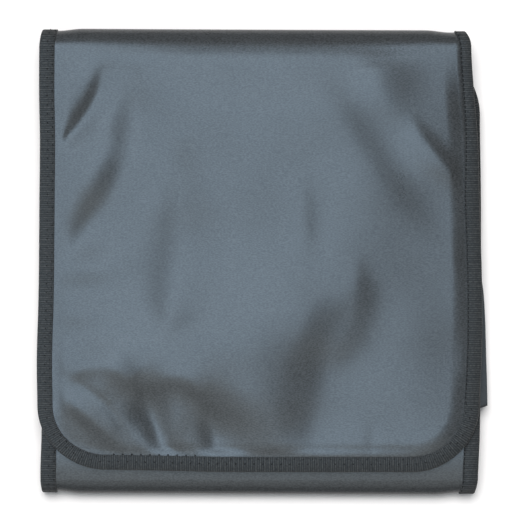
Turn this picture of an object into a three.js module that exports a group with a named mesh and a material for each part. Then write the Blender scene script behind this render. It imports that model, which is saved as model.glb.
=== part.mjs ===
// A knife roll of coated cloth, closed and lying on its back.
// One long sheet is folded twice: its lower end is turned up as a panel, its upper end turned down as a flap.
// Sizes are millimetres, +Z is up, +Y points at the top fold and the back lies on z = 0.
import * as THREE from "three";

const { degToRad, lerp, smoothstep } = THREE.MathUtils;

// Thickness of the cloth and the tape, and the gap left between pieces.
const COVER_THICK = 1.6;
const INNER_THICK = 1.0;
const TAPE_WALL = 0.8;
const TAPE_WIDTH = 12.4;
const TAPE_CHAMFER = 0.7;
const GAP = 0.3;
const TAPE_HALF = COVER_THICK / 2 + GAP + TAPE_WALL;
const SHEET_INSET = GAP + TAPE_WALL;

// The two folds: height from layer to layer, how far the taped edge reaches, the extra bulge of the bare middle,
// the slant of the fold line from left to right, and how far the tape is pinched in at the crest of a fold.
const FOLD_LIMIT = 185.7;
const FOLD_SKEW = -0.8;
const FOLD_BULGE = 2.0;
const BULGE_EASE = 26;
const BACK_HEIGHT = COVER_THICK / 2;
const TOP_RISE = 22;
const TOP_REACH = 12;
const TOP_PINCH = { left: 1.2, right: 4.0 };
const TOP_Y = FOLD_LIMIT - COVER_THICK / 2 - FOLD_BULGE - TOP_REACH;
const BOTTOM_RISE = 18;
const BOTTOM_REACH = 10;
const BOTTOM_PINCH = { left: 0.6, right: 1.2 };
const BOTTOM_Y = -(FOLD_LIMIT - COVER_THICK / 2 - FOLD_BULGE - BOTTOM_REACH);

// The two free ends of the sheet and their rounded corners.
const PANEL_END = 172;
const FLAP_END = -166.9;
const CORNER = 54;

// The flap's belly between its taped edges.
const FLAP_CROWN = 3.4;
const CROWN_EASE = 30;
const CROWN_START = 55;
const FOLD_EASE = 9;

// The lower panel: height of the sheet's middle, and the tape's outer edges, down its length.
const PANEL_ROWS = [
  { y: PANEL_END - CORNER, z: 13.8, left: -176.0, right: 173.8 },
  { y: 55, z: 13.9, left: -176.0, right: 174.6 },
  { y: -60, z: 14.3, left: -176.2, right: 174.4 },
  { y: -140, z: 17.6, left: -176.4, right: 173.3 },
  { y: BOTTOM_Y, z: BACK_HEIGHT + BOTTOM_RISE, left: -177.3, right: 172.0 },
];

// The back panel, up its length.
const BACK_ROWS = [
  { y: TOP_Y, left: -176.6, right: 166.4 },
  { y: 130, left: -176.2, right: 168.6 },
  { y: 20, left: -176.0, right: 170.4 },
  { y: BOTTOM_Y, left: -177.0, right: 169.6 },
];

// The front flap, down its length.
const FLAP_ROWS = [
  { y: TOP_Y, z: BACK_HEIGHT + TOP_RISE, left: -177.7, right: 164.6 },
  { y: 138, z: 21.9, left: -177.9, right: 168.0 },
  { y: 100, z: 20.6, left: -177.4, right: 171.4 },
  { y: 50, z: 19.0, left: -177.9, right: 173.0 },
  { y: -30, z: 18.7, left: -178.7, right: 175.2 },
  { y: -80, z: 19.4, left: -180.0, right: 174.6 },
  { y: FLAP_END + CORNER, z: 21.4, left: -179.4, right: 172.8 },
  { y: -150, z: 23.2, left: -179.4, right: 172.8 },
];

// Folds pressed into the flap: place of the crest, turn of its line from +X, half length, width of the steep side
// to the left of that line, width of the gentle side, and height.
const FLAP_FOLDS = [
  { x: -136, y: 126, turn: 60, long: 34, steep: 7, gentle: 16, rise: 2.6 },
  { x: -126, y: 32, turn: 48, long: 32, steep: 11, gentle: 22, rise: 2.2 },
  { x: -86, y: 18, turn: 266, long: 60, steep: 10, gentle: 25, rise: 1.8 },
  { x: 134, y: 86, turn: 313, long: 26, steep: 7, gentle: 16, rise: 2.2 },
  { x: 90, y: 62, turn: 307, long: 60, steep: 15, gentle: 30, rise: 2.5 },
  { x: 20, y: -86, turn: 253, long: 55, steep: 17, gentle: 34, rise: 3.6 },
  { x: 78, y: -38, turn: 262, long: 26, steep: 11, gentle: 20, rise: 1.8 },
  { x: -141, y: -121, turn: 134, long: 30, steep: 9, gentle: 12, rise: 2.6 },
  { x: -130, y: -80, turn: 180, long: 26, steep: 13, gentle: 26, rise: 2.8 },
  { x: -90, y: -118, turn: 113, long: 30, steep: 14, gentle: 9, rise: 3.0 },
  { x: -66, y: -88, turn: 170, long: 20, steep: 12, gentle: 24, rise: 2.2 },
  { x: -36, y: -122, turn: 105, long: 28, steep: 14, gentle: 24, rise: 2.4 },
];

// The inner flap: its hidden left edge, the right edge that peeks out, and its lower corner.
const INNER_LEFT = -150;
const INNER_SLANT = 0.35;
const INNER_DIP = TAPE_WIDTH + 2;
const INNER_EASE = 14;
const INNER_EDGE = 2;
const INNER_ROWS = [
  { y: 100, right: 166.0 },
  { y: 40, right: 170.0 },
  { y: -10, right: 174.8 },
  { y: -24, right: 176.7 },
  { y: -42, right: 177.9 },
  { y: -70, right: 178.7 },
  { y: -116.5, right: 179.7 },
];

// How finely each stretch of the sheet is cut.
const END_TURNS = 3;
const SIDE_TURNS = 4;
const FOLD_STEPS = 8;
const PANEL_STEPS = 9;
const BACK_STEPS = 5;
const FLAP_STEPS = 22;
const MIDDLE_COLUMNS = 21;
const END_COLUMN = 4;
const END_STEPS = 10;
const INNER_COLUMNS = 12;
const NUDGE = 0.01;

// The value of one column of a table at y, eased from row to row.
function eased(rows, column, y) {
  if (y >= rows[0].y) return rows[0][column];
  for (let i = 1; i < rows.length; i++) {
    const above = rows[i - 1];
    const below = rows[i];
    if (y >= below.y) return lerp(above[column], below[column], smoothstep(above.y - y, 0, above.y - below.y));
  }
  return rows[rows.length - 1][column];
}

// The height that the folds pressed into the flap add at one point.
function foldHeight(x, y) {
  let height = 0;
  for (const fold of FLAP_FOLDS) {
    const turn = degToRad(fold.turn);
    const along = (x - fold.x) * Math.cos(turn) + (y - fold.y) * Math.sin(turn);
    const left = (y - fold.y) * Math.cos(turn) - (x - fold.x) * Math.sin(turn);
    const width = left > 0 ? fold.steep : fold.gentle;
    height += fold.rise * Math.exp(-((along / fold.long) ** 2) - (left / width) ** 2);
  }
  return height;
}

// A place across a fold: both edges go evenly from the layer before it to the layer after it, pinched at the crest.
function foldPlace(before, after, pinch, turn) {
  const share = turn / Math.PI;
  const crest = Math.sin(turn) ** 2;
  return {
    left: lerp(before.left, after.left, share) + crest * pinch.left,
    right: lerp(before.right, after.right, share) - crest * pinch.right,
    end: Infinity,
    crown: 0,
  };
}

// The stretches of the sheet in order. At v each gives the middle of the sheet, its edges, the distance to a free
// end, the bulge of a fold, how far the taped edge is lifted off the ground, and the share of the flap's belly.
const panel = {
  at(v) {
    const y = -v;
    const edges = { left: eased(PANEL_ROWS, "left", y), right: eased(PANEL_ROWS, "right", y) };
    return { y, z: eased(PANEL_ROWS, "z", y), ...edges, end: PANEL_END - y, bulge: 0, lift: 0, crown: 0 };
  },
};

const bottomFold = {
  at(v) {
    const y = BOTTOM_Y - BOTTOM_REACH * Math.sin(v);
    const z = BACK_HEIGHT + (BOTTOM_RISE * (1 + Math.cos(v))) / 2;
    const place = foldPlace(PANEL_ROWS.at(-1), BACK_ROWS.at(-1), BOTTOM_PINCH, v);
    return { y, z, ...place, bulge: -Math.sin(v), lift: (1 - Math.cos(v)) / 2 };
  },
};

const back = {
  at(v) {
    const edges = { left: eased(BACK_ROWS, "left", v), right: eased(BACK_ROWS, "right", v) };
    return { y: v, z: BACK_HEIGHT, ...edges, end: Infinity, bulge: 0, lift: 1, crown: 0 };
  },
};

const topFold = {
  at(v) {
    const y = TOP_Y + TOP_REACH * Math.sin(v);
    const z = BACK_HEIGHT + (TOP_RISE * (1 - Math.cos(v))) / 2;
    const place = foldPlace(BACK_ROWS[0], FLAP_ROWS[0], TOP_PINCH, v);
    return { y, z, ...place, bulge: Math.sin(v), lift: (1 + Math.cos(v)) / 2 };
  },
};

const flap = {
  at(v) {
    const y = -v;
    const edges = { left: eased(FLAP_ROWS, "left", y), right: eased(FLAP_ROWS, "right", y) };
    const crown = smoothstep(TOP_Y - y, 0, CROWN_START);
    return { y, z: eased(FLAP_ROWS, "z", y), ...edges, end: y - FLAP_END, bulge: 0, lift: 0, crown };
  },
};

// How far x lies inside the rounded outline of the sheet.
function insetOf(place, x) {
  const side = Math.min(x - place.left, place.right - x);
  if (side >= CORNER || place.end >= CORNER) return Math.min(side, place.end);
  return CORNER - Math.hypot(CORNER - side, CORNER - place.end);
}

// The middle of the sheet at one place.
function middleOf(stretch, v, x) {
  const place = stretch.at(v);
  const inset = insetOf(place, x);
  const bare = smoothstep(inset, TAPE_WIDTH, TAPE_WIDTH + BULGE_EASE);
  const skew = (FOLD_SKEW * Math.abs(place.bulge) * x) / FOLD_LIMIT;
  const y = place.y + place.bulge * FOLD_BULGE * bare + skew;
  let z = place.z + place.lift * (TAPE_HALF - BACK_HEIGHT) * (1 - bare);
  if (place.crown > 0) {
    z += place.crown * FLAP_CROWN * smoothstep(inset, TAPE_WIDTH, TAPE_WIDTH + CROWN_EASE);
    z += place.crown * foldHeight(x, y) * smoothstep(inset, TAPE_WIDTH, TAPE_WIDTH + FOLD_EASE);
  }
  return new THREE.Vector3(x, y, z);
}

// A point on a surface with its outward direction, from a function of the place along it and across it.
function facing(surface, v, x) {
  const along = surface(v + NUDGE, x).sub(surface(v - NUDGE, x));
  const across = surface(v, x + NUDGE).sub(surface(v, x - NUDGE));
  return { point: surface(v, x), normal: along.cross(across).normalize() };
}

// A point of the sheet, raised off its middle.
function sheetPoint(stretch, v, x, height) {
  const place = facing((a, b) => middleOf(stretch, a, b), v, x);
  return place.point.addScaledVector(place.normal, height);
}

// Even steps from one value to another, both included.
function steps(from, to, count) {
  return Array.from({ length: count + 1 }, (_, i) => lerp(from, to, i / count));
}

// The rows between the rounded ends, which the sheet and the tape share.
function sideRows() {
  const rows = [];
  steps(CORNER - PANEL_END, -BOTTOM_Y, PANEL_STEPS).forEach((v) => rows.push({ stretch: panel, v }));
  steps(0, Math.PI, FOLD_STEPS).slice(1, -1).forEach((v) => rows.push({ stretch: bottomFold, v }));
  steps(BOTTOM_Y, TOP_Y, BACK_STEPS).forEach((v) => rows.push({ stretch: back, v }));
  steps(0, Math.PI, FOLD_STEPS).slice(1, -1).forEach((v) => rows.push({ stretch: topFold, v }));
  steps(-TOP_Y, -FLAP_END - CORNER, FLAP_STEPS).forEach((v) => rows.push({ stretch: flap, v }));
  return rows;
}

// The turns of a rounded corner, from the free end to the side. One of them meets the tape's inner edge at the end.
function cornerTurns() {
  const seamTurn = Math.acos((CORNER - TAPE_WIDTH) / (CORNER - SHEET_INSET));
  return [...steps(0, seamTurn, END_TURNS), ...steps(seamTurn, Math.PI / 2, SIDE_TURNS).slice(1)];
}

// All rows of the sheet, those of its rounded ends included.
function sheetRows() {
  const ends = cornerTurns().slice(0, -1).map((turn) => CORNER - (CORNER - SHEET_INSET) * Math.cos(turn));
  const first = ends.map((end) => ({ stretch: panel, v: end - PANEL_END }));
  const last = ends.map((end) => ({ stretch: flap, v: -FLAP_END - end }));
  return [...first, ...sideRows(), ...last.reverse()];
}

// How far in from the side a line at some inset runs, at a distance from the free end.
function drawnIn(end, inset) {
  if (end >= CORNER) return inset;
  const radius = CORNER - inset;
  return CORNER - Math.sqrt(Math.max(0, radius ** 2 - (CORNER - end) ** 2));
}

// A closed slab from a grid of facing points: both faces and the rim between them.
function slab(grid, thick) {
  const across = grid[0].length;
  const positions = [];
  for (const side of [1, -1]) {
    for (const { point, normal } of grid.flat()) {
      positions.push(...point.clone().addScaledVector(normal, (side * thick) / 2));
    }
  }
  const under = grid.length * across;
  const at = (i, j) => i * across + j;
  const index = [];
  for (let i = 0; i + 1 < grid.length; i++) {
    for (let j = 0; j + 1 < across; j++) {
      const [a, b, c, d] = [at(i, j), at(i + 1, j), at(i, j + 1), at(i + 1, j + 1)];
      index.push(a, b, c, c, b, d);
      index.push(under + a, under + c, under + b, under + c, under + d, under + b);
    }
  }
  const lastRow = grid.length - 1;
  const lastColumn = across - 1;
  const rim = [];
  for (let i = 0; i < lastRow; i++) rim.push(at(i, 0));
  for (let j = 0; j < lastColumn; j++) rim.push(at(lastRow, j));
  for (let i = lastRow; i > 0; i--) rim.push(at(i, lastColumn));
  for (let j = lastColumn; j > 0; j--) rim.push(at(0, j));
  rim.forEach((p, k) => {
    const q = rim[(k + 1) % rim.length];
    index.push(q, p, under + p, q, under + p, under + q);
  });
  return geometry(positions, index);
}

// A closed ring from stations that each hold the same number of section points.
function ring(stations) {
  const count = stations[0].length;
  const positions = stations.flat().flatMap((point) => point.toArray());
  const index = [];
  stations.forEach((_, i) => {
    const next = (i + 1) % stations.length;
    for (let k = 0; k < count; k++) {
      const turn = (k + 1) % count;
      const [a, b, c, d] = [i * count + k, next * count + k, i * count + turn, next * count + turn];
      index.push(a, b, c, c, b, d);
    }
  });
  return geometry(positions, index);
}

function geometry(positions, index) {
  const made = new THREE.BufferGeometry();
  made.setAttribute("position", new THREE.Float32BufferAttribute(positions, 3));
  made.setIndex(index);
  made.computeVertexNormals();
  return made;
}

// The folded sheet.
function coverGeometry() {
  const grid = sheetRows().map(({ stretch, v }) => {
    const { left, right, end } = stretch.at(v);
    const edge = drawnIn(end, SHEET_INSET);
    const seam = Math.max(drawnIn(end, TAPE_WIDTH), edge + END_COLUMN);
    const columns = [left + edge, ...steps(left + seam, right - seam, MIDDLE_COLUMNS), right - edge];
    return columns.map((x) => facing((a, b) => middleOf(stretch, a, b), v, x));
  });
  return slab(grid, COVER_THICK);
}

// The outline of the sheet as stations, each giving its place at a distance in from the tape's outer edge.
function outline() {
  const rows = sideRows();
  const turns = cornerTurns().slice(1, -1);
  const turnsBack = turns.slice().reverse();
  const panelEdge = PANEL_ROWS[0];
  const flapEdge = FLAP_ROWS.at(-1);
  const panelStation = (x, end) => ({ stretch: panel, v: end - PANEL_END, x });
  const flapStation = (x, end) => ({ stretch: flap, v: -FLAP_END - end, x });
  const corner = (station, middle, side) => (turn) => (inset) => {
    const radius = CORNER - inset;
    return station(middle + side * radius * Math.sin(turn), CORNER - radius * Math.cos(turn));
  };
  const panelEnd = steps(panelEdge.left + CORNER, panelEdge.right - CORNER, END_STEPS);
  const flapEnd = steps(flapEdge.right - CORNER, flapEdge.left + CORNER, END_STEPS);
  return [
    ...panelEnd.map((x) => (inset) => panelStation(x, inset)),
    ...turns.map(corner(panelStation, panelEdge.right - CORNER, 1)),
    ...rows.map(({ stretch, v }) => (inset) => ({ stretch, v, x: stretch.at(v).right - inset })),
    ...turnsBack.map(corner(flapStation, flapEdge.right - CORNER, 1)),
    ...flapEnd.map((x) => (inset) => flapStation(x, inset)),
    ...turns.map(corner(flapStation, flapEdge.left + CORNER, -1)),
    ...rows.reverse().map(({ stretch, v }) => (inset) => ({ stretch, v, x: stretch.at(v).left + inset })),
    ...turnsBack.map(corner(panelStation, panelEdge.left + CORNER, -1)),
  ];
}

// The tape folded over the edge: a U section carried round the outline.
function bindingGeometry() {
  const inner = TAPE_HALF - TAPE_WALL;
  const section = [
    { inset: TAPE_WIDTH, height: TAPE_HALF },
    { inset: TAPE_CHAMFER, height: TAPE_HALF },
    { inset: 0, height: TAPE_HALF - TAPE_CHAMFER },
    { inset: 0, height: TAPE_CHAMFER - TAPE_HALF },
    { inset: TAPE_CHAMFER, height: -TAPE_HALF },
    { inset: TAPE_WIDTH, height: -TAPE_HALF },
    { inset: TAPE_WIDTH, height: -inner },
    { inset: TAPE_WALL, height: -inner },
    { inset: TAPE_WALL, height: inner },
    { inset: TAPE_WIDTH, height: inner },
  ];
  const stations = outline().map((station) =>
    section.map(({ inset, height }) => {
      const { stretch, v, x } = station(inset);
      return sheetPoint(stretch, v, x, height);
    }),
  );
  return ring(stations);
}

// The inner flap, which hangs under the lower panel and dips below the panel's tape where it comes out.
function innerMiddle(v, x) {
  const y = -v;
  const place = panel.at(v);
  const under = smoothstep(place.right - x, INNER_DIP, INNER_DIP + INNER_EASE);
  const clear = COVER_THICK / 2 + GAP + INNER_THICK / 2;
  const rise = INNER_SLANT * Math.max(0, x - place.right);
  return new THREE.Vector3(x, y + rise, place.z - clear - SHEET_INSET * (1 - under));
}

function innerFlapGeometry() {
  const rows = INNER_ROWS.flatMap(({ y, right }, i) => {
    const next = INNER_ROWS[i + 1];
    return next ? [{ y, right }, { y: (y + next.y) / 2, right: (right + next.right) / 2 }] : [{ y, right }];
  });
  const grid = rows.map(({ y, right }) => {
    const panelRight = eased(PANEL_ROWS, "right", y);
    const dip = panelRight - INNER_DIP;
    const peek = Math.min(panelRight, right - INNER_EDGE);
    const hidden = steps(INNER_LEFT, dip - INNER_EASE, INNER_COLUMNS);
    return [...hidden, dip - INNER_EASE / 2, dip, peek, right].map((x) => facing(innerMiddle, -y, x));
  });
  return slab(grid, INNER_THICK);
}

// Materials.
function coatedCloth() {
  return new THREE.MeshStandardMaterial({ color: 0x1b1d20, roughness: 0.42, metalness: 0 });
}

function wovenTape() {
  return new THREE.MeshStandardMaterial({ color: 0x121314, roughness: 0.8, metalness: 0 });
}

function piece(name, shape, material) {
  const mesh = new THREE.Mesh(shape, material);
  mesh.name = name;
  return mesh;
}

const knifeRoll = new THREE.Group();
knifeRoll.name = "knife_roll";
knifeRoll.add(piece("cover", coverGeometry(), coatedCloth()));
knifeRoll.add(piece("edge_binding", bindingGeometry(), wovenTape()));
knifeRoll.add(piece("inner_flap", innerFlapGeometry(), coatedCloth()));

export default knifeRoll;
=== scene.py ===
import math
from types import SimpleNamespace

import bpy
import numpy as np
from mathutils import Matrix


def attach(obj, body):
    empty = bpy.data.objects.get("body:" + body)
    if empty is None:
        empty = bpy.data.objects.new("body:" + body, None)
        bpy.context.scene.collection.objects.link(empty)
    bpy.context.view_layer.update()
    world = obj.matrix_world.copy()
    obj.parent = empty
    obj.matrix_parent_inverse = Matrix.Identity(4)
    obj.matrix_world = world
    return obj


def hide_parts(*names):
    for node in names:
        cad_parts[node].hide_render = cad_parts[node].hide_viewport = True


# Closed knife roll: a folded sheet of coated cloth, its ribbed edge tape, the sewing and the inner flap.
# Shapes are worked out in millimetres and turned into metres when a mesh is made.
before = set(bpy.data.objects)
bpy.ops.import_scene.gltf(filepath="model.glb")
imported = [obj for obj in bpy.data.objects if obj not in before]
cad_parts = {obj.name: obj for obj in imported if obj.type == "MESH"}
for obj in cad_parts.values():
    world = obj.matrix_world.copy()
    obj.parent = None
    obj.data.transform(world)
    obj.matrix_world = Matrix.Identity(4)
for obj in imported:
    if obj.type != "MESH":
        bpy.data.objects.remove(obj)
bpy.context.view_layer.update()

MM = 0.001
RANDOM = np.random.default_rng(7)

# Thickness of the cloth and the tape.
COVER_THICK = 1.6
INNER_THICK = 1.0
TAPE_WALL = 0.8
TAPE_WIDTH = 12.4
GAP = 0.3
TAPE_HALF = COVER_THICK / 2 + GAP + TAPE_WALL
SHEET_INSET = GAP + TAPE_WALL

# The two folds: how far out each comes, their slant, the bulge of the bare middle between the tapes, and
# the rise from layer to layer, the depth and the pinched sides of each.
FOLD_LIMIT = {"top": 186.4, "bottom": 185.5}
FOLD_SKEW = -0.8
FOLD_BULGE = 1.8
BULGE_EASE = 20
BACK_HEIGHT = COVER_THICK / 2
TOP_RISE = 22
TOP_REACH = 12
TOP_PINCH = {"left": 1.2, "right": 4.0}
TOP_Y = FOLD_LIMIT["top"] - COVER_THICK / 2 - FOLD_BULGE - TOP_REACH
BOTTOM_RISE = 18
BOTTOM_REACH = 10
BOTTOM_PINCH = {"left": 0.6, "right": 1.2}
BOTTOM_Y = -(FOLD_LIMIT["bottom"] - COVER_THICK / 2 - FOLD_BULGE - BOTTOM_REACH)

# The two free ends of the sheet and their rounded corners.
PANEL_END = 172
FLAP_END = -166.9
CORNER = 54

# The flap's belly between its taped edges: a short rise beside the tape, with its own heights at the free
# end from left to right, and a long rise. Both begin below the top fold.
EDGE_CROWN = 2.1
EDGE_START = 4
EDGE_EASE = 12
LOW_CROWN = {"left": 0.6, "right": 2.6}
LOW_FROM, LOW_TO = -20, 50
BELLY_CROWN = 2.5
BELLY_EASE = 110
CROWN_START = 52

# How far the lower panel sags by the bottom fold, and the flap by the top fold between its sides.
BODY_SAG = 3.0
BODY_LENGTH = 16
SHOULDER_SAG = 3.5
SHOULDER_LENGTH = 10
SAG_FROM, SAG_TO = 40, 220

# How far the flap's free end slants up at the left.
LOW_SKEW = 2.2
SKEW_FROM, SKEW_TO = 10, 150

# Over what length the pressed folds fade out beside the tape, at the free end and below the top fold, into
# how many pieces each stretch of a fold's line is cut, how softly they are joined, and how many widths
# away a fold still counts.
FOLD_EASE = 11
LOW_EASE = 6
FOLD_START = 20
FOLD_PARTS = 8
FOLD_BLEND = 3
FOLD_FAR = 2.6

# Height of the sheet's middle, and the tape's outer edges, down the lower panel, the back and the flap.
PANEL_ROWS = [
    {"y": PANEL_END - CORNER, "z": 13.8, "left": -176.0, "right": 173.8},
    {"y": 55, "z": 13.9, "left": -176.0, "right": 174.6},
    {"y": -60, "z": 14.3, "left": -176.2, "right": 174.4},
    {"y": -140, "z": 17.6, "left": -176.4, "right": 173.3},
    {"y": BOTTOM_Y, "z": BACK_HEIGHT + BOTTOM_RISE, "left": -177.3, "right": 172.0},
]
BACK_ROWS = [
    {"y": TOP_Y, "left": -176.6, "right": 166.4},
    {"y": 130, "left": -176.2, "right": 168.6},
    {"y": 20, "left": -176.0, "right": 170.4},
    {"y": BOTTOM_Y, "left": -177.0, "right": 169.6},
]
FLAP_ROWS = [
    {"y": TOP_Y, "z": BACK_HEIGHT + TOP_RISE, "left": -177.7, "right": 166.2},
    {"y": 138, "z": 21.9, "left": -177.9, "right": 168.2},
    {"y": 100, "z": 20.6, "left": -177.4, "right": 171.4},
    {"y": 50, "z": 19.0, "left": -177.9, "right": 173.0},
    {"y": -30, "z": 18.7, "left": -178.7, "right": 175.2},
    {"y": -80, "z": 19.2, "left": -180.0, "right": 174.6},
    {"y": FLAP_END + CORNER, "z": 20.6, "left": -179.4, "right": 172.8},
    {"y": -150, "z": 22.0, "left": -179.4, "right": 172.8},
]

# Folds pressed into the flap, each drawn along its crest or groove. The columns are x, y, the width on the
# left and on the right of the way along it, and the height there, below zero for a groove.
X, Y, LEFT, RIGHT, RISE = range(5)
FLAP_FOLDS = {
    "top left edge": [
        (-156, 164, 10, 5, 0), (-158, 150, 10, 5, 1.0), (-160, 130, 10, 4, 0.9),
        (-163, 112, 8, 4, 0),
    ],
    "top left groove": [
        (-121, 166, 10, 6, 0), (-125, 153, 11, 8, -1.4), (-129.5, 138, 12, 9, -2.8),
        (-135, 126, 12, 9, -3.4), (-141.5, 115.5, 12, 9, -3.6), (-149.5, 105, 11, 8, -3.0),
        (-158, 97, 8, 6, -1.8), (-166, 90, 5, 5, 0),
    ],
    "left crest": [
        (-112, 100, 16, 14, 0), (-122, 87, 18, 15, 1.2), (-138, 68, 20, 15, 2.8),
        (-149, 50, 16, 10, 1.8), (-156, 30, 12, 7, 0.7), (-161, 10, 8, 6, 0),
    ],
    "left hollow": [
        (-99, 158, 20, 22, 0), (-99, 142, 23, 26, -3.4), (-99, 116, 25, 28, -6.8),
        (-103, 88, 23, 22, -3.6), (-118, 54, 24, 18, -2.7), (-137, 28, 22, 16, -2.7),
        (-150, 8, 16, 12, -1.3), (-158, -8, 10, 8, 0),
    ],
    "long hollow": [
        (-66, 98, 14, 14, 0), (-64, 62, 18, 22, -2.6), (-63, 24, 22, 28, -5.0),
        (-66, -10, 24, 29, -5.6), (-69, -34, 20, 24, -4.6), (-74, -54, 14, 16, -1.8),
        (-78, -66, 10, 10, 0),
    ],
    "short ripple": [
        (31, 76, 9, 14, 0), (31, 50, 11, 17, 0.8), (32, 28, 11, 17, 0.9), (33, 0, 9, 14, 0),
    ],
    "right ripple": [
        (38, 152, 18, 24, 0), (62, 112, 18, 28, 0.9), (82, 80, 18, 30, 1.1),
        (101, 52, 18, 28, 0.95), (118, 31, 18, 24, 0.8), (135, 12, 16, 20, 0.5),
        (150, -6, 12, 16, 0),
    ],
    "top right slope": [
        (76, 172, 22, 20, 0.1), (83, 161, 24, 20, 1.2), (90, 149, 26, 22, 2.2),
        (97, 137, 26, 20, 2.0), (106, 122, 22, 16, 1.0), (114, 108, 16, 12, 0),
    ],
    "right crest": [
        (114, 117, 6, 14, 0), (127, 98, 8, 18, 1.5), (140, 83, 8, 16, 2.2),
        (151, 71, 7, 12, 1.4), (158, 63, 5, 8, 0.3), (163, 57, 4, 6, 0),
    ],
    "middle crest": [
        (75, 8, 8, 10, 0), (73.5, -6, 10, 30, 0.8), (72, -26, 18, 66, 2.0),
        (67, -46, 20, 70, 2.3), (60, -62, 18, 60, 1.9), (54, -76, 14, 40, 0.8),
        (50, -88, 12, 12, 0),
    ],
    "large valley": [
        (66, -24, 30, 16, 0), (71, -40, 42, 28, -1.4), (69, -54, 50, 31, -2.1),
        (57, -78, 60, 26, -1.9), (51, -102, 58, 27, -2.2), (45, -126, 48, 26, -2.6),
        (41, -142, 36, 22, -2.0), (37, -156, 20, 14, 0),
    ],
    "large valley crest": [
        (38, -22, 14, 60, 0), (34, -40, 18, 80, 0.9), (29, -54, 20, 90, 1.2),
        (16, -78, 24, 90, 1.2), (10, -102, 24, 80, 0.8), (6, -126, 20, 60, 0.8),
        (8, -142, 16, 36, 0.4), (10, -156, 12, 20, 0),
    ],
    "low tuck": [
        (88, -122, 5, 6, 0), (88, -134, 5, 6, -0.3), (88, -144, 5, 6, -0.4), (88, -156, 4, 5, 0),
    ],
    "side ripple high": [
        (-163, -2, 14, 12, 0), (-151, -4, 16, 14, 1.8), (-128, -3, 16, 14, 1.8),
        (-106, 4, 12, 12, 0),
    ],
    "side ripple low": [
        (-163, -40, 14, 12, 0), (-151, -41, 16, 13, 1.8), (-128, -41, 16, 13, 1.6),
        (-108, -38, 12, 12, 0),
    ],
    "corner crest": [
        (-165, -97, 8, 8, 0), (-158, -102.5, 22, 10, 1.7), (-149, -111.5, 40, 11, 3.6),
        (-136, -122.5, 40, 11, 3.5), (-124, -134, 28, 10, 2.6), (-114, -143, 14, 9, 0.9),
        (-106, -152, 8, 8, 0),
    ],
    "first arch": [
        (-157, -90, 18, 12, 0), (-149, -86, 26, 18, 2.6), (-139, -82, 30, 27, 4.1),
        (-126, -80.5, 30, 34, 4.2), (-116, -83.5, 28, 34, 3.5), (-108, -90, 22, 24, 2.3),
        (-102, -98, 15, 15, 0.9), (-98, -107, 10, 10, 0),
    ],
    "first arch edge": [
        (-158, -92, 8, 6, 0), (-150, -87.5, 12, 8, 0.9), (-139, -83, 14, 9, 1.2),
        (-126, -81.5, 16, 9, 1.3), (-116, -85, 16, 9, 1.2), (-108, -91, 14, 8, 0.9),
        (-102, -98, 10, 7, 0.5), (-97, -106, 6, 6, 0),
    ],
    "first arch crease": [
        (-152, -93, 4, 5, 0), (-140, -100, 4, 5, -0.5), (-128, -109, 4, 5, -0.6),
        (-119, -120, 4, 5, -0.6), (-112, -132, 4, 5, -0.5), (-107, -142, 4, 5, -0.4),
        (-104, -152, 4, 5, 0),
    ],
    "first arch groove": [
        (-105, -88, 10, 12, 0), (-100.5, -94, 14, 13, -0.3), (-96, -100, 14, 15, -1.4),
        (-90.5, -109, 14, 17, -3.5), (-86, -120, 15, 16, -5.1), (-81, -133, 15, 13, -6.0),
        (-77, -142, 13, 12, -5.0), (-73.5, -151, 11, 10, -3.0), (-70, -162, 9, 9, -1.6),
    ],
    "second arch": [
        (-86, -102, 18, 12, 0), (-81, -96, 20, 16, 0.8), (-75, -91.5, 26, 22, 2.1),
        (-67, -90, 26, 23, 2.6), (-59, -93, 24, 19, 2.3), (-52, -99, 18, 13, 1.6),
        (-47, -107, 14, 11, 0.8), (-43, -117, 12, 10, 0),
    ],
    "second arch edge": [
        (-85, -103, 8, 6, 0), (-80, -96.5, 10, 8, 0.4), (-74, -92.5, 12, 8, 0.6),
        (-67, -91, 12, 8, 0.7), (-59, -94, 12, 8, 0.7), (-52, -100, 10, 8, 0.7),
        (-46, -109, 9, 7, 0.5), (-42, -119, 7, 6, 0),
    ],
    "second arch groove": [
        (-57, -94, 12, 12, 0), (-50, -102, 15, 13, -0.8), (-43.5, -113, 18, 15, -2.5),
        (-38.5, -126, 20, 16, -4.2), (-36, -139, 22, 15, -4.0), (-34.5, -150, 22, 13, -2.2),
        (-33, -162, 18, 12, -1.0),
    ],
    "second arch rib": [
        (-67, -104, 8, 12, 0), (-69, -114, 8, 14, 1.0), (-70, -125, 8, 15, 2.2),
        (-70.5, -136, 8, 15, 3.1), (-70, -146, 8, 11, 2.2), (-69, -155, 6, 8, 0),
    ],
    "low left slope": [
        (-162, -92, 30, 30, 0), (-146, -86, 44, 40, 0.8), (-110, -80, 50, 46, 1.6),
        (-70, -86, 50, 42, 2.4), (-30, -98, 50, 36, 3.6), (-4, -101, 48, 34, 3.7),
        (20, -105, 40, 34, 2.3), (44, -110, 30, 32, 0.8), (64, -114, 24, 26, 0),
    ],
    "low middle slope": [
        (-44, -4, 50, 50, 0), (-42, -32, 70, 60, 2.4), (-40, -60, 72, 60, 3.2),
        (-40, -84, 60, 50, 1.6), (-40, -106, 40, 40, 0),
    ],
}

# Slow swells of the flap: wave length, direction in degrees, phase and height.
SWELLS = [(74, 20, 0.4, 0.16), (58, 95, 2.1, 0.12), (91, 140, 4.0, 0.2)]

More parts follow.
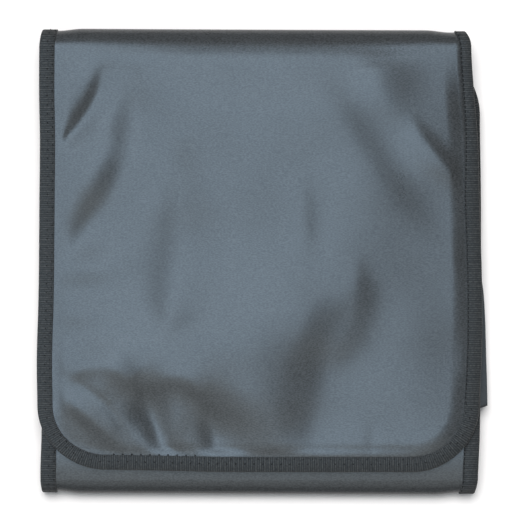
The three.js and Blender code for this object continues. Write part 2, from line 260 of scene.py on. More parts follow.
# The inner flap: its hidden left edge, the slant of its lower edge, how it dips under the tape and droops
# past it, how finely it is cut, and the right edge that peeks out.
INNER_LEFT = -150
INNER_SLANT = 0.35
INNER_DIP = TAPE_WIDTH + 2
INNER_EASE = 14
INNER_DROOP = 0.2
DROOP_START = 4
INNER_STEP = 2.5
INNER_COLUMNS = 90
INNER_ROWS = [
    {"y": 100, "right": 166.0},
    {"y": 40, "right": 170.0},
    {"y": -10, "right": 174.8},
    {"y": -24, "right": 176.7},
    {"y": -42, "right": 177.9},
    {"y": -70, "right": 178.7},
    {"y": -116.5, "right": 179.7},
]

# How much of the tape's width the right side loses towards the top fold, and from where to where.
TOP_NARROW = 0.28
NARROW_SPAN = 40, 140

# The tape's lip and rounded edge with the share of the ribs there, and the ribs, every second one lower
# and each a little uneven.
TAPE_LIP = 0.3
ROUND_START = 1.3
ROUND_MIDDLE = 0.4
ROUND_DROP = 0.6
ROUND_TIP = 0.1
EDGE_RIB = 0.6
RIB_PITCH = 1.76
RIB_DEPTH = 0.42
RIB_SHAPE = np.array([0.0, 0.85, 1.0, 0.85])
RIB_LOW = 0.8
RIB_UNEVEN = 0.1

# The sewing: its step, the zigzag's reach over the tape, the loose zigzag that runs onto the cloth at the
# lower left, the straight row down the right side, and which runs of the outline these two follow.
STITCH_STEP = 3.6
STITCH_REACH = 6.0
ZIGZAG_IN = 1.2
ZIGZAG_LOOSE = 1.2
LOOSE_SPAN = -138, -48
STITCH_IN = 0.7
RIGHT_RUNS = slice(2, 7)
FLAP_END_RUN = 8

# The thread: its heights over and under the face that it is sewn through, its radius and sides, and the
# places along a stitch with the height that holds there: at the start, in the middle or at the stop.
THREAD_UP, THREAD_DOWN = 0.12, -0.8
THREAD_RADIUS = 0.3
THREAD_SIDES = 6
THREAD_SHARES = 0.0, 0.3, 0.5, 0.7, 1.0
THREAD_LEVELS = 0, 1, 1, 1, 2

# How finely the sheet is cut: close columns over the wrinkled left part and plain ones over the rest, and
# rows along each stretch, close ones on the flap's wrinkled lower part.
FINE_SHARE = 0.38
FINE_COLUMNS = 126
PLAIN_COLUMNS = 130
FLAP_STEP = 1.6
FINE_FROM = -66
FINE_STEP = 1.05
END_ROWS = 8
END_REACH = 8
PANEL_STEP = 20
BACK_STEP = 34
BOTTOM_STEPS = 14
TOP_STEPS = 18
LINING_STRIDE = 3

# The least width of cloth under the tape, the cuts that measure a stretch, the step that finds a direction,
# and the distance that stands for no free end.
SEAM_CLEAR = 2
COURSE_CUTS = 600
NUDGE = 0.01
NO_END = 1e6

# Coated cloth: the tones of its grain, its roughness and the strength of the grain, then the grain's size,
# stretch and depth, and the size and strength of the slow change in its gloss.
COVER_CLOTH = {"dark": (0.012, 0.013, 0.014), "light": (0.042, 0.045, 0.048), "rough": 0.29, "grain": 0.23}
INNER_CLOTH = {"dark": (0.02, 0.022, 0.024), "light": (0.032, 0.034, 0.036), "rough": 0.45, "grain": 0.08}
GRAIN_SCALE = 1700
GRAIN_STRETCH = (0.36, 1, 1)
GRAIN_DEPTH = 0.0002
CLOUD_SCALE = 26
GLOSS_SPREAD = 0.04

# Tape and thread: their tones, the tape's dark one being painted shade in the grooves between its ribs, the
# size, strength and depth of the yarns, and the sizes of the flecks in the ribs and of the thread's twist.
TAPE_DARK, TAPE_LIGHT = (0.002, 0.002, 0.002), (0.05, 0.049, 0.047)
TAPE_SPAN = 0.1, 0.75
YARN_SCALE = 1500
YARN_STRENGTH = 0.4
YARN_DEPTH = 0.0002
FLECK_SCALE = 620
THREAD_DARK, THREAD_LIGHT = (0.006, 0.006, 0.006), (0.016, 0.016, 0.017)
TWIST_SCALE = 2500

# The stage: the camera's height in metres, the width that it sees halfway up the roll, its sensor in
# millimetres, and the half width and colour of the ground.
CAMERA_HEIGHT = 2.0
SEEN_WIDTH = 0.42
SEEN_AT = 0.011
SENSOR = 36.0
FLOOR_HALF = 6.0
FLOOR_COLOUR = (0.95, 0.92, 0.91, 1)

# The light: level panels that the cloth mirrors, from corner to corner in metres, a soft sun with its
# angles in degrees, and the air around.
PANEL_HEIGHT = 2.6
SKY = (0.625, 0.84, 1.05)
ROOM = (0.89, 0.99, 1.02)
FAR = (0.92, 1.0, 1.02)
LIGHT_PANELS = [
    {"name": "sky_panel", "low": (-0.25, -0.55), "high": (0.485, 1.6), "radiance": 5.2, "colour": SKY},
    {"name": "side_panel", "low": (-6.0, -0.55), "high": (-0.25, 1.6), "radiance": 4.35, "colour": SKY},
    {"name": "room_panel", "low": (-4.0, -1.25), "high": (1.0, -0.62), "radiance": 1.75, "colour": ROOM},
    {"name": "far_panel", "low": (-2.2, -3.4), "high": (1.0, -1.25), "radiance": 0.8, "colour": FAR},
]
SUN_STRENGTH = 2.9
SUN_SPREAD = 40
SUN_LEAN = 28
SUN_TURN = 8
AIR_COLOUR = (0.93, 1.0, 1.03, 1)
AIR_STRENGTH = 0.42


def smoothstep(value, low, high):
    share = np.clip((value - low) / (high - low), 0, 1)
    return share * share * (3 - 2 * share)


def mix(first, second, share):
    return first + (second - first) * share


def eased(rows, column, y):
    """One column of a table at y, on a smooth curve from row to row that is level at both ends."""
    places = np.array([row["y"] for row in reversed(rows)], float)
    values = np.array([row[column] for row in reversed(rows)], float)
    slopes = np.gradient(values, places)
    slopes[[0, -1]] = 0
    below = np.clip(np.searchsorted(places, y) - 1, 0, len(places) - 2)
    wide = places[below + 1] - places[below]
    share = np.clip((y - places[below]) / wide, 0, 1)
    ease = smoothstep(share, 0, 1)
    lean = wide * share * (1 - share) * (slopes[below] * (1 - share) - slopes[below + 1] * share)
    return mix(values[below], values[below + 1], ease) + lean


def curve(points):
    """A smooth line through points, with whatever else they carry."""
    points = np.array(points, float)
    slopes = np.gradient(points, axis=0)
    share = np.linspace(0, 1, FOLD_PARTS, endpoint=False)[None, :, None]
    start, stop = points[:-1, None], points[1:, None]
    ease = smoothstep(share, 0, 1)
    lean = share * (1 - share) * (slopes[:-1, None] * (1 - share) - slopes[1:, None] * share)
    line = (mix(start, stop, ease) + lean).reshape(-1, points.shape[1])
    return np.concatenate([line, points[-1:]])


def ridge(line, x, y):
    """Height of one fold at places near its line: the heights of its pieces, the nearest counting most."""
    step = np.diff(line, axis=0)
    size = np.hypot(step[:, X], step[:, Y])
    over = x[:, None] - line[:-1, X]
    up = y[:, None] - line[:-1, Y]
    share = np.clip((over * step[:, X] + up * step[:, Y]) / size**2, 0, 1)
    gap = np.hypot(over - share * step[:, X], up - share * step[:, Y])
    lean = (step[:, X] * up - step[:, Y] * over) / (size * np.maximum(gap, NUDGE))
    left, right, rise = (line[:-1, column] + share * step[:, column] for column in (LEFT, RIGHT, RISE))
    width = mix(right, left, smoothstep(lean, -1, 1))
    away = np.hypot(gap, FOLD_BLEND)
    weight = np.exp((away.min(1, keepdims=True) - away) / FOLD_BLEND)
    return (weight * rise * np.exp(-((gap / width) ** 2))).sum(1) / weight.sum(1)


def fold_height(x, y):
    """The height that the folds pressed into the flap add."""
    x, y = np.broadcast_arrays(x, y)
    height = np.zeros(x.shape)
    for points in FLAP_FOLDS.values():
        line = curve(points)
        reach = FOLD_FAR * line[:, [LEFT, RIGHT]].max()
        low, high = line.min(0) - reach, line.max(0) + reach
        near = (x > low[X]) & (x < high[X]) & (y > low[Y]) & (y < high[Y])
        if near.any():
            height[near] += ridge(line, x[near], y[near])
    return height


def swell_height(x, y):
    """The height of the flap's slow swells."""
    height = 0
    for length, turn, phase, rise in SWELLS:
        along = x * math.cos(math.radians(turn)) + y * math.sin(math.radians(turn))
        height = height + rise * np.sin(along * 2 * math.pi / length + phase)
    return height


def fold_edges(before, after, pinch, turn):
    """The sheet's edges round a fold, pinched in at its crest."""
    share = turn / math.pi
    crest = np.sin(turn) ** 2
    left = mix(before["left"], after["left"], share) + crest * pinch["left"]
    right = mix(before["right"], after["right"], share) - crest * pinch["right"]
    return left, right


def body_sag(y):
    """How far the lower panel sags towards the bottom fold."""
    return BODY_SAG * (1 - smoothstep(y - BOTTOM_Y, -BOTTOM_REACH, BODY_LENGTH))


def flap_sag(y):
    """How far the flap sags towards the top fold."""
    return SHOULDER_SAG * (1 - smoothstep(TOP_Y - y, -TOP_REACH, SHOULDER_LENGTH))


# The stretches of the sheet in order. At v each gives the middle of the sheet, its edges, the distance to a
# free end, the bulge of a fold, how far the taped edge is lifted off the ground, and the sag between the
# sides. The flap also gives the share of its belly.
def panel(v):
    y = -v
    left, right = eased(PANEL_ROWS, "left", y), eased(PANEL_ROWS, "right", y)
    z = eased(PANEL_ROWS, "z", y) - body_sag(y)
    return SimpleNamespace(y=y, z=z, left=left, right=right, end=PANEL_END - y, bulge=0, lift=0, sag=0)


def bottom_fold(v):
    y = BOTTOM_Y - BOTTOM_REACH * np.sin(v)
    z = BACK_HEIGHT + BOTTOM_RISE * (1 + np.cos(v)) / 2
    left, right = fold_edges(PANEL_ROWS[-1], BACK_ROWS[-1], BOTTOM_PINCH, v)
    lift = (1 - np.cos(v)) / 2
    z = z - (1 - lift) * body_sag(y)
    return SimpleNamespace(y=y, z=z, left=left, right=right, end=NO_END, bulge=-np.sin(v), lift=lift, sag=0)


def back(v):
    left, right = eased(BACK_ROWS, "left", v), eased(BACK_ROWS, "right", v)
    z = BACK_HEIGHT + 0 * v
    return SimpleNamespace(y=v, z=z, left=left, right=right, end=NO_END, bulge=0, lift=1, sag=0)


def top_fold(v):
    y = TOP_Y + TOP_REACH * np.sin(v)
    z = BACK_HEIGHT + TOP_RISE * (1 - np.cos(v)) / 2
    left, right = fold_edges(BACK_ROWS[0], FLAP_ROWS[0], TOP_PINCH, v)
    lift = (1 + np.cos(v)) / 2
    sag = (1 - lift) * flap_sag(y)
    return SimpleNamespace(
        y=y, z=z, left=left, right=right, end=NO_END, bulge=np.sin(v), lift=lift, sag=sag
    )


def flap(v):
    y = -v
    left, right = eased(FLAP_ROWS, "left", y), eased(FLAP_ROWS, "right", y)
    z = eased(FLAP_ROWS, "z", y)
    crown = smoothstep(TOP_Y - y, 0, CROWN_START)
    return SimpleNamespace(
        y=y, z=z, left=left, right=right, end=y - FLAP_END, bulge=0, lift=0, crown=crown, sag=flap_sag(y)
    )


def inset_of(place, x):
    """How far x lies inside the rounded outline of the sheet."""
    side = np.minimum(x - place.left, place.right - x)
    rounded = CORNER - np.hypot(CORNER - side, CORNER - place.end)
    in_corner = (side < CORNER) & (place.end < CORNER)
    return np.where(in_corner, rounded, np.minimum(side, place.end))


def flap_height(place, inset, low, x, y):
    """The height of the flap's belly and of the folds pressed into it."""
    low_crown = mix(LOW_CROWN["left"], LOW_CROWN["right"], smoothstep(x, LOW_FROM, LOW_TO))
    edge = mix(low_crown, EDGE_CROWN, low) * smoothstep(inset, EDGE_START, TAPE_WIDTH + EDGE_EASE)
    belly = BELLY_CROWN * smoothstep(inset, TAPE_WIDTH, TAPE_WIDTH + BELLY_EASE)
    ease = mix(LOW_EASE, FOLD_EASE, low)
    pressed = smoothstep(inset, TAPE_WIDTH, TAPE_WIDTH + ease) * smoothstep(TOP_Y - y, 0, FOLD_START)
    folded = fold_height(x, y) + place.crown * swell_height(x, y)
    return place.crown * (edge + belly) + pressed * folded


def middle(stretch, v, x):
    """The middle of the sheet at one place."""
    place = stretch(v)
    inset = inset_of(place, x)
    bare = smoothstep(inset, TAPE_WIDTH, TAPE_WIDTH + BULGE_EASE)
    skew = FOLD_SKEW * np.abs(place.bulge) * x / FOLD_LIMIT["top"]
    y = place.y + place.bulge * FOLD_BULGE * bare + skew
    z = place.z + place.lift * (TAPE_HALF - BACK_HEIGHT) * (1 - bare)
    z = z - place.sag * (1 - smoothstep(np.abs(x), SAG_FROM, SAG_TO))
    if stretch is flap:
        low = smoothstep(place.end, 0, CORNER)
        y = y + LOW_SKEW * (1 - low) * smoothstep(-x, SKEW_FROM, SKEW_TO)
        z = z + flap_height(place, inset, low, x, y)
    return np.stack(np.broadcast_arrays(x, y, z), -1)


def facing(surface, v, x):
    """Points of a surface and their outward directions."""
    along = surface(v + NUDGE, x) - surface(v - NUDGE, x)
    across = surface(v, x + NUDGE) - surface(v, x - NUDGE)
    normal = np.cross(along, across)
    return surface(v, x), normal / np.linalg.norm(normal, axis=-1, keepdims=True)


def sheet_facing(stretch, v, x):
    return facing(lambda a, b: middle(stretch, a, b), v, x)


def drawn_in(end, inset):
    """How far in from the side a line at some inset runs, at a distance from the free end."""
    radius = CORNER - inset
    inside = np.sqrt(np.maximum(0, radius**2 - np.maximum(0, CORNER - end) ** 2))
    return CORNER - inside


def mesh_object(name, points, faces, material):
    """A mesh object from points in millimetres."""
    mesh = bpy.data.meshes.new(name)
    mesh.from_pydata((np.asarray(points) * MM).tolist(), [], faces)
    mesh.update()
    mesh.shade_smooth()
    mesh.materials.append(material)
    made = bpy.data.objects.new(name, mesh)
    bpy.context.collection.objects.link(made)
    return made


def grid_faces(rows, columns, offset=0, flip=False):
    """Quads of a grid of points."""
    index = np.arange(rows * columns).reshape(rows, columns) + offset
    corners = [index[:-1, :-1], index[1:, :-1], index[1:, 1:], index[:-1, 1:]]
    quads = np.stack([c.ravel() for c in corners], -1)
    return quads[:, ::-1] if flip else quads


def slab(name, points, normals, thick, material, stride=1):
    """A closed sheet of some thickness round a grid of points, its under side cut coarser by a stride."""
    rows, columns = points.shape[:2]
    keep_rows = np.unique(np.append(np.arange(0, rows, stride), rows - 1))
    keep_columns = np.unique(np.append(np.arange(0, columns, stride), columns - 1))
    keep = np.ix_(keep_rows, keep_columns)
    count = rows * columns
    under = np.full((rows, columns), -1)
    under[keep] = count + np.arange(len(keep_rows) * len(keep_columns)).reshape(len(keep_rows), -1)
    outer = (points + normals * thick / 2).reshape(-1, 3)
    inner = (points - normals * thick / 2)[keep].reshape(-1, 3)
    index = np.arange(count).reshape(rows, columns)
    around = [index[:-1, 0], index[-1, :-1], index[:0:-1, -1], index[0, :0:-1]]
    rim = np.concatenate(around)
    posts = np.flatnonzero(under.ravel()[rim] >= 0)
    faces = grid_faces(rows, columns).tolist()
    faces += grid_faces(len(keep_rows), len(keep_columns), count, True).tolist()
    for first, last in zip(posts, np.append(posts[1:], len(rim))):
        edge = np.append(rim, rim[0])[first : last + 1]
        faces.append([*edge[::-1], under.ravel()[edge[0]], under.ravel()[edge[-1]]])
    return mesh_object(name, np.concatenate([outer, inner]), faces, material)


def steps(start, stop, size):
    return np.linspace(start, stop, max(2, round(abs(stop - start) / size) + 1))


# The sheet
def cover_rows():
    """The stretches of the sheet and the places along them where it is cut."""
    full_turn = math.acos((CORNER - END_REACH) / (CORNER - SHEET_INSET))
    ends = CORNER - (CORNER - SHEET_INSET) * np.cos(np.linspace(0, full_turn, END_ROWS))
    panel_v = np.concatenate([ends[:-1], steps(END_REACH, CORNER, PANEL_STEP)[:-1]]) - PANEL_END
    panel_side = steps(CORNER - PANEL_END, -BOTTOM_Y, PANEL_STEP)[:-1]
    flap_side = steps(-TOP_Y, -FINE_FROM, FLAP_STEP)[:-1]
    flap_low = steps(-FINE_FROM, -FLAP_END - END_REACH, FINE_STEP)[:-1]
    return [
        (panel, np.concatenate([panel_v, panel_side])),
        (bottom_fold, np.linspace(0, math.pi, BOTTOM_STEPS, endpoint=False)),
        (back, steps(BOTTOM_Y, TOP_Y, BACK_STEP)[:-1]),
        (top_fold, np.linspace(0, math.pi, TOP_STEPS, endpoint=False)),
        (flap, np.concatenate([flap_side, flap_low, -FLAP_END - ends[::-1]])),
    ]


def cover(material):
    """The folded sheet of coated cloth."""
    points, normals = [], []
    fine = np.linspace(0, FINE_SHARE, FINE_COLUMNS, endpoint=False)
    share = np.concatenate([fine, np.linspace(FINE_SHARE, 1, PLAIN_COLUMNS)])
    for stretch, v in cover_rows():
        v = v[:, None]
        place = stretch(v)
        end = np.broadcast_to(place.end, v.shape)
        edge = drawn_in(end, SHEET_INSET)
        seam = np.maximum(drawn_in(end, TAPE_WIDTH), edge + SEAM_CLEAR)
        inside = mix(place.left + seam, place.right - seam, share[None, :])
        x = np.concatenate([place.left + edge, inside, place.right - edge], axis=1)
        p, n = sheet_facing(stretch, v, x)
        points.append(p)
        normals.append(n)
    points, normals = np.concatenate(points), np.concatenate(normals)
    return slab("cover_cloth", points, normals, COVER_THICK, material, LINING_STRIDE)


# The edge tape
def even_places(stretch, start, stop, pitch, parts):
    """Places along a stretch, evenly by length: a whole number of pitches, each cut in parts."""
    fine = np.linspace(start, stop, COURSE_CUTS)
    place = stretch(fine)
    length = np.concatenate([[0], np.cumsum(np.hypot(np.diff(place.y), np.diff(place.z)))])
    count = max(1, round(length[-1] / pitch)) * parts
    return np.interp(np.arange(count) / count * length[-1], length, fine)


def even_line(start, stop, pitch, parts):
    count = max(1, round(abs(stop - start) / pitch)) * parts
    return start + (stop - start) * np.arange(count) / count


def even_turns(radius, start, stop, pitch, parts):
    count = max(1, round(radius * math.pi / 2 / pitch)) * parts
    return start + (stop - start) * np.arange(count) / count


def outline(pitch, parts):
    """The sheet's outline as runs, each giving its places at a distance in from the tape's outer edge."""
    panel_edge, flap_edge = PANEL_ROWS[0], FLAP_ROWS[-1]
    quarter = math.pi / 2
    mid_radius = CORNER - TAPE_WIDTH / 2

    def end_run(stretch, far, start, stop):
        x = even_line(start, stop, pitch, parts)
        return lambda inset: (stretch, far + inset + 0 * x, x)

    def corner_run(stretch, far, centre, side, start, stop):
        turn = even_turns(mid_radius, start, stop, pitch, parts)

        def places(inset):
            radius = CORNER - inset
            return stretch, far + CORNER - radius * np.cos(turn), centre + side * radius * np.sin(turn)

        return places

    def side_run(stretch, start, stop, side):
        v = even_places(stretch, start, stop, pitch, parts)
        place = stretch(v)
        narrow = TOP_NARROW * smoothstep(place.y, *NARROW_SPAN) * (side == "right") * (stretch is not panel)
        inward = (1 if side == "left" else -1) * (1 - narrow)
        return lambda inset: (stretch, v, getattr(place, side) + inward * inset)

    def flap_places(run):
        """Places counted up from the flap's end, turned into places along the flap."""

        def places(inset):
            stretch, end, x = run(inset)
            return stretch, -FLAP_END - end, x

        return places

    stretches = [
        (panel, CORNER - PANEL_END, -BOTTOM_Y),
        (bottom_fold, 0, math.pi),
        (back, BOTTOM_Y, TOP_Y),
        (top_fold, 0, math.pi),
        (flap, -TOP_Y, -FLAP_END - CORNER),
    ]
    right = [side_run(stretch, start, stop, "right") for stretch, start, stop in stretches]
    left = [side_run(stretch, stop, start, "left") for stretch, start, stop in reversed(stretches)]
    return [
        end_run(panel, -PANEL_END, panel_edge["left"] + CORNER, panel_edge["right"] - CORNER),
        corner_run(panel, -PANEL_END, panel_edge["right"] - CORNER, 1, 0, quarter),
        *right,
        flap_places(corner_run(flap, 0, flap_edge["right"] - CORNER, 1, quarter, 0)),
        flap_places(end_run(flap, 0, flap_edge["right"] - CORNER, flap_edge["left"] + CORNER)),
        flap_places(corner_run(flap, 0, flap_edge["left"] + CORNER, -1, 0, quarter)),
        *left,
        corner_run(panel, -PANEL_END, panel_edge["left"] + CORNER, -1, quarter, 0),
    ]


def tape_section():
    """The tape's section: distance in from its outer edge, height over the sheet, and share of the ribs."""
    inner = TAPE_HALF - TAPE_WALL
    face = [
        (TAPE_WIDTH - TAPE_LIP, TAPE_HALF, 1),
        (TAPE_WIDTH / 2, TAPE_HALF, 1),
        (ROUND_START, TAPE_HALF, 1),
        (ROUND_MIDDLE, TAPE_HALF - ROUND_DROP, EDGE_RIB),
    ]
    under = [(inset, -height, -ribbed) for inset, height, ribbed in reversed(face)]
    return [
        (TAPE_WIDTH, inner, 0),
        (TAPE_WIDTH, TAPE_HALF - TAPE_LIP, EDGE_RIB),
        *face,
        (ROUND_TIP, 0, 0),
        *under,
        (TAPE_WIDTH, -inner, 0),
        (TAPE_WALL, -inner, 0),
        (TAPE_WALL, inner, 0),
    ]


def rib_heights(count):
    """Heights of the ribs at the places of one run."""
    parts = len(RIB_SHAPE)
    ribs = count // parts
    tall = np.where(np.arange(ribs) % 2, RIB_LOW, 1) - RIB_UNEVEN * RANDOM.random(ribs)
    return np.tile(RIB_SHAPE, ribs) * np.repeat(tall, parts)


def edge_binding(material):
    """The tape folded over the edge, with its ribs, and their heights kept on the points for painted shade
    in the grooves.
    """
    section = tape_section()
    rings, rib_shade = [], []
    for run in outline(RIB_PITCH, len(RIB_SHAPE)):
        rib = rib_heights(len(run(0)[1]))
        ring = []
        for inset, height, ribbed in section:
            p, n = sheet_facing(*run(inset))
            drop = ribbed * RIB_DEPTH * (rib - 1)
            ring.append(p + n * (height + drop)[:, None])
        rings.append(np.stack(ring, 1))
        # The rib heights also go on the points as a colour source: painted shade in the grooves between the
        # ribs.
        rib_shade.append(np.repeat(rib, len(section)))
    points = np.concatenate(rings)
    stations, count = points.shape[:2]
    index = np.arange(stations * count).reshape(stations, count)
    after, turn = np.roll(index, -1, 0), np.roll(index, -1, 1)
    corner = np.roll(after, -1, 1)
    faces = np.stack([index.ravel(), after.ravel(), corner.ravel(), turn.ravel()], -1)
    tape = mesh_object("edge_tape", points.reshape(-1, 3), faces.tolist(), material)
    tape.data.attributes.new("rib", "FLOAT", "POINT").data.foreach_set("value", np.concatenate(rib_shade))
    return tape


# The sewing
def threads(name, starts, stops, normals, heights, material):
    """Short lengths of thread from point to point, with heights at the start, the middle and the stop."""
    along = stops - starts
    along = along / np.linalg.norm(along, axis=1, keepdims=True)
    across = np.cross(along, normals)
    turns = np.arange(THREAD_SIDES)[None, :, None] * 2 * math.pi / THREAD_SIDES
    circle = across[:, None] * np.cos(turns) + normals[:, None] * np.sin(turns)
    rings = []
    for share, level in zip(THREAD_SHARES, THREAD_LEVELS):
        centre = mix(starts, stops, share) + normals * heights[:, level, None]
        rings.append(centre[:, None] + THREAD_RADIUS * circle)
    points = np.stack(rings, 1)
    points[..., 2] = np.maximum(points[..., 2], 0)
    count, cuts = points.shape[:2]
    index = np.arange(points.size // 3).reshape(count, cuts, THREAD_SIDES)
    turn = np.roll(index, -1, 2)
    walls = np.stack([index[:, :-1], turn[:, :-1], turn[:, 1:], index[:, 1:]], -1).reshape(-1, 4)
    caps = np.concatenate([index[:, 0, ::-1], index[:, -1]])
    return mesh_object(name, points.reshape(-1, 3), walls.tolist() + caps.tolist(), material)


def sewn_run(runs, run, face):
    """Points where the needle goes through along one run, which way is out, and the thread's heights."""
    x = run(0)[2]
    count = len(x)
    outward = np.arange(count) % 2
    loose = (run is runs[FLAP_END_RUN]) & (x > LOOSE_SPAN[0]) & (x < LOOSE_SPAN[1])
    inset = TAPE_WIDTH + np.where(loose, ZIGZAG_LOOSE, -ZIGZAG_IN)
    inset = np.where(outward, TAPE_WIDTH - STITCH_REACH, inset)
    on_cloth = COVER_THICK / 2 - TAPE_HALF + THREAD_UP
    ends = np.where(loose & (outward == 0), on_cloth, THREAD_UP)
    middles = np.full(count, THREAD_DOWN)
    if run in runs[RIGHT_RUNS]:
        inset = np.full(count, TAPE_WIDTH - STITCH_IN)
        ends, middles = middles, np.full(count, THREAD_UP)
    p, n = sheet_facing(*run(inset))
    return p + face * n * TAPE_HALF, face * n, ends, middles


def stitching(material):
    """Sewing along the tape's inner edge on both faces: zigzag, but straight down the right side."""
    runs = outline(2 * STITCH_STEP, 2)
    starts, stops, normals, heights = [], [], [], []
    for face in (1, -1):
        sewn = [sewn_run(runs, run, face) for run in runs]
        holes, ups, ends, middles = (np.concatenate(part) for part in zip(*sewn))
        starts.append(holes)
        stops.append(np.roll(holes, -1, 0))
        normals.append(ups)
        heights.append(np.stack([ends, middles, np.roll(ends, -1)], -1))
    parts = [np.concatenate(part) for part in (starts, stops, normals, heights)]
    return threads("stitching", *parts, material)


# The inner flap
def inner_middle(v, x):
    """The middle of the inner flap at one place."""
    place = panel(v)
    under = smoothstep(place.right - x, INNER_DIP, INNER_DIP + INNER_EASE)
    clear = COVER_THICK / 2 + GAP + INNER_THICK / 2
    y = -v + INNER_SLANT * np.maximum(0, x - place.right)
    droop = INNER_DROOP * np.maximum(0, x - place.right + DROOP_START)
    z = place.z - clear - SHEET_INSET * (1 - under) - droop
    return np.stack(np.broadcast_arrays(x, y, z), -1)


def inner_flap(material):
    """The loose flap under the lower panel, whose corner peeks out at the right."""
    y = steps(INNER_ROWS[0]["y"], INNER_ROWS[-1]["y"], INNER_STEP)[:, None]
    right = eased(INNER_ROWS, "right", y)
    share = 1 - np.linspace(1, 0, INNER_COLUMNS) ** 2
    x = mix(INNER_LEFT, right, share[None, :])
    points, normals = facing(inner_middle, -y, x)
    return slab("inner_flap_cloth", points, normals, INNER_THICK, material)


# Materials
def new_material(name):
    material = bpy.data.materials.new(name)
    material.use_nodes = True
    return material, material.node_tree.nodes, material.node_tree.links


def noise(nodes, links, place, scale, detail, stretch=(1, 1, 1)):
    """A noise texture over the piece, stretched along its axes."""
    spread = nodes.new("ShaderNodeMapping")
    spread.inputs["Scale"].default_value = stretch
    texture = nodes.new("ShaderNodeTexNoise")
    texture.inputs["Scale"].default_value = scale
    texture.inputs["Detail"].default_value = detail
    links.new(place.outputs["Object"], spread.inputs["Vector"])
    links.new(spread.outputs["Vector"], texture.inputs["Vector"])
    return texture.outputs["Fac"]


def ramp(nodes, links, source, dark, light, low=0.3, high=0.7):
    """Colours from dark to light over a range of a source."""
    made = nodes.new("ShaderNodeValToRGB")
    made.color_ramp.elements[0].position = low
    made.color_ramp.elements[0].color = (*dark, 1)
    made.color_ramp.elements[1].position = high
    made.color_ramp.elements[1].color = (*light, 1)
    links.new(source, made.inputs["Fac"])
    return made.outputs["Color"]


def relief(nodes, links, source, strength, depth):
    """A small bump from a source."""
    bump = nodes.new("ShaderNodeBump")
    bump.inputs["Strength"].default_value = strength
    bump.inputs["Distance"].default_value = depth
    links.new(source, bump.inputs["Height"])
    links.new(bump.outputs["Normal"], nodes["Principled BSDF"].inputs["Normal"])


def coated_cloth(name, dark, light, rough, grain):
    """Black coated cloth: a fine grain drawn out across the roll and an uneven soft sheen."""
    material, nodes, links = new_material(name)
    shader = nodes["Principled BSDF"]
    shader.inputs["Specular IOR Level"].default_value = 0.5
    place = nodes.new("ShaderNodeTexCoord")
    speck = noise(nodes, links, place, GRAIN_SCALE, 0, GRAIN_STRETCH)
    cloud = noise(nodes, links, place, CLOUD_SCALE, 2)
    relief(nodes, links, speck, grain, GRAIN_DEPTH)
    links.new(ramp(nodes, links, speck, dark, light), shader.inputs["Base Color"])
    gloss = nodes.new("ShaderNodeMapRange")
    gloss.inputs["To Min"].default_value = rough - GLOSS_SPREAD
    gloss.inputs["To Max"].default_value = rough + GLOSS_SPREAD
    links.new(cloud, gloss.inputs["Value"])
    links.new(gloss.outputs["Result"], shader.inputs["Roughness"])
    return material


def woven_tape():
    """Matt ribbed tape: painted shade between the ribs, with the yarns' small bumps."""
    material, nodes, links = new_material("woven_tape")
    shader = nodes["Principled BSDF"]
    shader.inputs["Roughness"].default_value = 0.7
    shader.inputs["Specular IOR Level"].default_value = 0.4
    shader.inputs["Sheen Weight"].default_value = 0.1
    place = nodes.new("ShaderNodeTexCoord")
    yarns = noise(nodes, links, place, YARN_SCALE, 2)
    relief(nodes, links, yarns, YARN_STRENGTH, YARN_DEPTH)
    # Painted shade: the rib heights darken the colour in the grooves between the ribs, and a noise breaks
    # this into flecks.
    rib = nodes.new("ShaderNodeAttribute")
    rib.attribute_name = "rib"
    rib_shade_and_flecks = nodes.new("ShaderNodeMath")
    rib_shade_and_flecks.operation = "MULTIPLY"
    links.new(rib.outputs["Fac"], rib_shade_and_flecks.inputs[0])
    links.new(noise(nodes, links, place, FLECK_SCALE, 1), rib_shade_and_flecks.inputs[1])
    tone = ramp(nodes, links, rib_shade_and_flecks.outputs["Value"], TAPE_DARK, TAPE_LIGHT, *TAPE_SPAN)
    links.new(tone, shader.inputs["Base Color"])
    return material


def sewing_thread():
    """Black twisted thread."""
    material, nodes, links = new_material("sewing_thread")
    shader = nodes["Principled BSDF"]
    shader.inputs["Roughness"].default_value = 0.85
    shader.inputs["Specular IOR Level"].default_value = 0.15
    place = nodes.new("ShaderNodeTexCoord")
    twist = noise(nodes, links, place, TWIST_SCALE, 1)
    tone = ramp(nodes, links, twist, THREAD_DARK, THREAD_LIGHT)
    links.new(tone, shader.inputs["Base Color"])
    return material


def pale_floor():
    """Plain matt white ground."""
    material, nodes, _ = new_material("pale_floor")
    shader = nodes["Principled BSDF"]
    shader.inputs["Base Color"].default_value = FLOOR_COLOUR
    shader.inputs["Roughness"].default_value = 0.9
    shader.inputs["Specular IOR Level"].default_value = 0.1
    return material


# The stage
def camera():
    """Straight above the roll, as in the photo."""
    data = bpy.data.cameras.new("camera")
    data.sensor_width = SENSOR
    data.lens = SENSOR * (CAMERA_HEIGHT - SEEN_AT) / SEEN_WIDTH
    made = bpy.data.objects.new("camera", data)
    made.location = (0, 0, CAMERA_HEIGHT)
    bpy.context.collection.objects.link(made)
    bpy.context.scene.camera = made


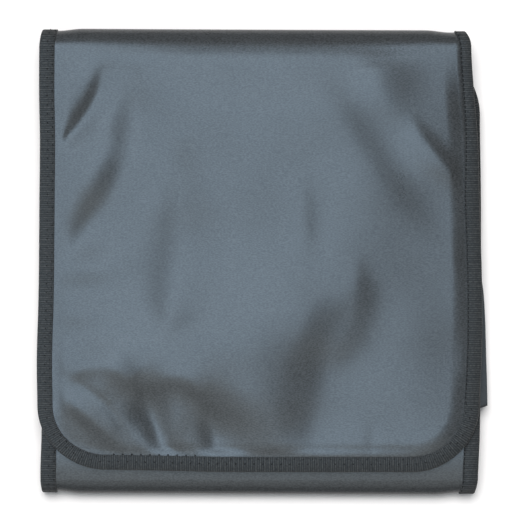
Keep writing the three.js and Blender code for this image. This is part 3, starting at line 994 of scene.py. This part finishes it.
def light_panel(name, low, high, radiance, colour):
    """A level panel over the roll, from corner to corner, that the cloth mirrors."""
    data = bpy.data.lights.new(name, "AREA")
    data.shape = "RECTANGLE"
    data.size = high[0] - low[0]
    data.size_y = high[1] - low[1]
    data.energy = radiance * math.pi * data.size * data.size_y
    data.color = colour
    made = bpy.data.objects.new(name, data)
    made.location = ((low[0] + high[0]) / 2, (low[1] + high[1]) / 2, PANEL_HEIGHT)
    made.visible_diffuse = False
    bpy.context.collection.objects.link(made)


def soft_sun():
    """A broad soft light from beyond the top fold, which lights the floor and shades it below the roll."""
    data = bpy.data.lights.new("soft_sun", "SUN")
    data.energy = SUN_STRENGTH
    data.angle = math.radians(SUN_SPREAD)
    made = bpy.data.objects.new("soft_sun", data)
    made.rotation_euler = (math.radians(-SUN_LEAN), 0, math.radians(SUN_TURN))
    made.visible_glossy = False
    bpy.context.collection.objects.link(made)


def floor():
    """The ground that the roll lies on."""
    mesh = bpy.data.meshes.new("floor")
    corners = [(x * FLOOR_HALF, y * FLOOR_HALF, 0) for x, y in ((-1, -1), (1, -1), (1, 1), (-1, 1))]
    mesh.from_pydata(corners, [], [(0, 1, 2, 3)])
    mesh.materials.append(pale_floor())
    made = bpy.data.objects.new("floor", mesh)
    bpy.context.collection.objects.link(made)


def studio():
    """Soft light, a pale ground and the camera."""
    scene = bpy.context.scene
    scene.view_settings.view_transform = "Standard"
    world = bpy.data.worlds.new("studio")
    world.use_nodes = True
    air = world.node_tree.nodes["Background"]
    air.inputs["Color"].default_value = AIR_COLOUR
    air.inputs["Strength"].default_value = AIR_STRENGTH
    scene.world = world
    for panel_row in LIGHT_PANELS:
        light_panel(**panel_row)
    soft_sun()
    floor()
    camera()


def build():
    """The pieces of the roll, each on the solid that it stands for."""
    sheet = cover(coated_cloth("coated_cloth", **COVER_CLOTH))
    tape = edge_binding(woven_tape())
    sewing = stitching(sewing_thread())
    inner = inner_flap(coated_cloth("inner_cloth", **INNER_CLOTH))
    for piece, node, slot in (
        (sheet, "cover", "coated_cloth"),
        (tape, "edge_binding", "woven_tape"),
        (inner, "inner_flap", "inner_cloth"),
    ):
        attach(piece, "root")
        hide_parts(node)
    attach(sewing, "root")


build()
studio()
